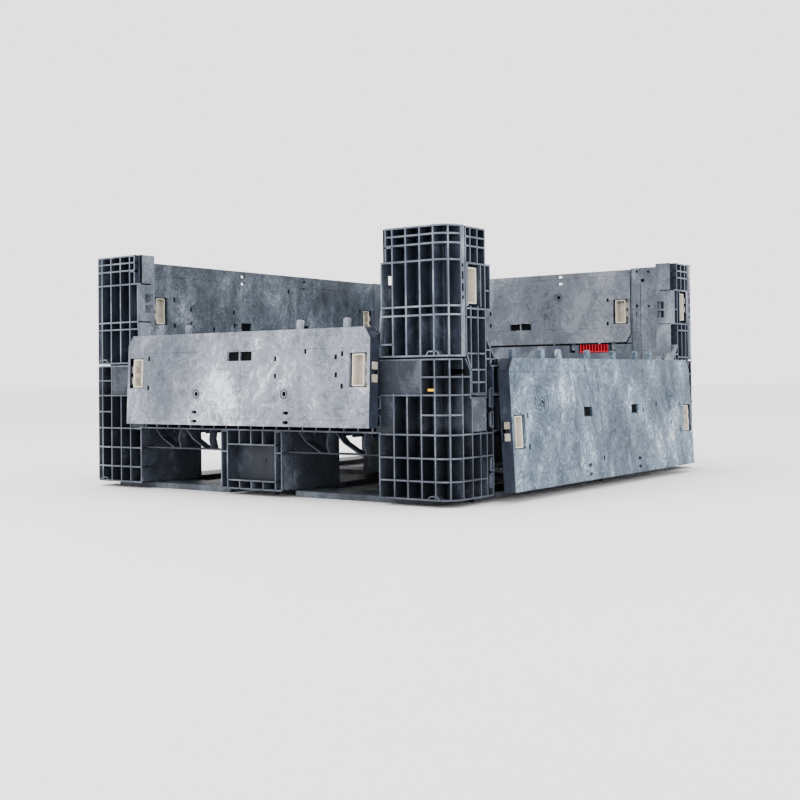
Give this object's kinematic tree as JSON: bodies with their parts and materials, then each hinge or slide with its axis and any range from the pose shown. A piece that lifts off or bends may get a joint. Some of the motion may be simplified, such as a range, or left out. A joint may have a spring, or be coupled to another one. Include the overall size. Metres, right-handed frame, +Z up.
{
  "type": "collapsible bulk container",
  "caption": "Folding-wall plastic bulk container on a four-way pallet base, with a hinged drop door in each ribbed wall.",
  "frame": {"origin": "centre of the footprint, on the ground under the middle runner", "axes": "+X to the right wall, +Y to the rear wall, +Z up"},
  "size_m": [1.2779, 1.458, 0.639],
  "materials": {
    "base_plastic": "satin moulded foam plastic, dark blue grey",
    "frame_plastic": "satin moulded foam plastic, blue grey with paler edges",
    "door_plastic": "satin moulded foam plastic with swirled flow marks, light grey",
    "runner_plastic": "scuffed foam plastic, dark grey",
    "latch_plastic": "smooth moulded plastic, beige",
    "clip_plastic": "semi-gloss plastic, red",
    "marker_plastic": "semi-gloss plastic, yellow",
    "rod_steel": "drawn bar, satin"
  },
  "bodies": {
    "base": {"pallet_base": "base_plastic", "runner_centre": "runner_plastic", "runner_front_right": "runner_plastic", "runner_front_left": "runner_plastic", "runner_rear_left": "runner_plastic", "runner_rear_right": "runner_plastic", "runner_right_rear": "runner_plastic", "runner_right_front": "runner_plastic", "runner_left_front": "runner_plastic", "runner_left_rear": "runner_plastic", "front_wall_frame": "frame_plastic", "rear_wall_frame": "frame_plastic", "front_door_rod": "rod_steel", "front_wall_rod": "rod_steel", "rear_door_rod": "rod_steel", "rear_wall_rod": "rod_steel", "front_hinge_clip_outer": "clip_plastic", "front_hinge_clip_inner": "clip_plastic", "rear_hinge_clip_outer": "clip_plastic", "rear_hinge_clip_inner": "clip_plastic", "corner_marker": "marker_plastic", "right_wall_rod": "rod_steel", "left_wall_rod": "rod_steel"},
    "right_wall": {"right_wall_frame": "frame_plastic", "right_door_rod": "rod_steel"},
    "left_wall": {"left_wall_frame": "frame_plastic", "left_door_rod": "rod_steel"},
    "front_door": {"front_drop_door": "door_plastic"},
    "rear_door": {"rear_drop_door": "door_plastic"},
    "left_door": {"left_drop_door": "door_plastic"},
    "right_door": {"right_drop_door": "door_plastic"},
    "front_door_latch_right": {"front_door_latch_right": "latch_plastic"},
    "front_door_latch_left": {"front_door_latch_left": "latch_plastic"},
    "rear_door_latch_left": {"rear_door_latch_left": "latch_plastic"},
    "rear_door_latch_right": {"rear_door_latch_right": "latch_plastic"},
    "right_door_latch_rear": {"right_door_latch_rear": "latch_plastic"},
    "right_door_latch_front": {"right_door_latch_front": "latch_plastic"},
    "left_door_latch_front": {"left_door_latch_front": "latch_plastic"},
    "left_door_latch_rear": {"left_door_latch_rear": "latch_plastic"},
    "right_wall_latch_rear": {"right_wall_latch_rear": "latch_plastic"},
    "right_wall_latch_front": {"right_wall_latch_front": "latch_plastic"},
    "left_wall_latch_rear": {"left_wall_latch_rear": "latch_plastic"},
    "left_wall_latch_front": {"left_wall_latch_front": "latch_plastic"}
  },
  "joints": [
    {"name": "front_door_swing", "type": "hinge", "parent": "base", "child": "front_door", "pos_m": [0, -0.694, 0.406], "axis": [-1, 0, 0], "range_deg": [0, 177.5]},
    {"name": "rear_door_swing", "type": "hinge", "parent": "base", "child": "rear_door", "pos_m": [0, 0.694, 0.406], "axis": [-1, 0, 0], "range_deg": [0, 177.5]},
    {"name": "right_wall_fold", "type": "hinge", "parent": "base", "child": "right_wall", "pos_m": [0.556, 0, 0.258], "axis": [0, -1, 0], "range_deg": [0, 90]},
    {"name": "left_wall_fold", "type": "hinge", "parent": "base", "child": "left_wall", "pos_m": [-0.556, 0, 0.258], "axis": [0, 1, 0], "range_deg": [0, 90]},
    {"name": "right_door_swing", "type": "hinge", "parent": "right_wall", "child": "right_door", "pos_m": [0.602, 0, 0.329], "axis": [0, -1, 0], "range_deg": [0, 177.2]},
    {"name": "left_door_swing", "type": "hinge", "parent": "left_wall", "child": "left_door", "pos_m": [-0.602, 0, 0.329], "axis": [0, -1, 0], "range_deg": [0, 177.2]},
    {"name": "front_door_latch_right_slide", "type": "slide", "parent": "front_door", "child": "front_door_latch_right", "axis": [1, 0, 0], "range_m": [0, 0.009]},
    {"name": "front_door_latch_left_slide", "type": "slide", "parent": "front_door", "child": "front_door_latch_left", "axis": [-1, 0, 0], "range_m": [0, 0.009]},
    {"name": "rear_door_latch_left_slide", "type": "slide", "parent": "rear_door", "child": "rear_door_latch_left", "axis": [-1, 0, 0], "range_m": [0, 0.009]},
    {"name": "rear_door_latch_right_slide", "type": "slide", "parent": "rear_door", "child": "rear_door_latch_right", "axis": [1, 0, 0], "range_m": [0, 0.009]},
    {"name": "right_door_latch_rear_slide", "type": "slide", "parent": "right_door", "child": "right_door_latch_rear", "axis": [0, 1, 0], "range_m": [0, 0.009]},
    {"name": "right_door_latch_front_slide", "type": "slide", "parent": "right_door", "child": "right_door_latch_front", "axis": [0, -1, 0], "range_m": [0, 0.009]},
    {"name": "left_door_latch_front_slide", "type": "slide", "parent": "left_door", "child": "left_door_latch_front", "axis": [0, -1, 0], "range_m": [0, 0.009]},
    {"name": "left_door_latch_rear_slide", "type": "slide", "parent": "left_door", "child": "left_door_latch_rear", "axis": [0, 1, 0], "range_m": [0, 0.009]},
    {"name": "right_wall_latch_rear_slide", "type": "slide", "parent": "right_wall", "child": "right_wall_latch_rear", "axis": [0, -1, 0], "range_m": [-0.009, 0]},
    {"name": "right_wall_latch_front_slide", "type": "slide", "parent": "right_wall", "child": "right_wall_latch_front", "axis": [0, 1, 0], "range_m": [-0.009, 0]},
    {"name": "left_wall_latch_rear_slide", "type": "slide", "parent": "left_wall", "child": "left_wall_latch_rear", "axis": [0, -1, 0], "range_m": [-0.009, 0]},
    {"name": "left_wall_latch_front_slide", "type": "slide", "parent": "left_wall", "child": "left_wall_latch_front", "axis": [0, 1, 0], "range_m": [-0.009, 0]}
  ]
}
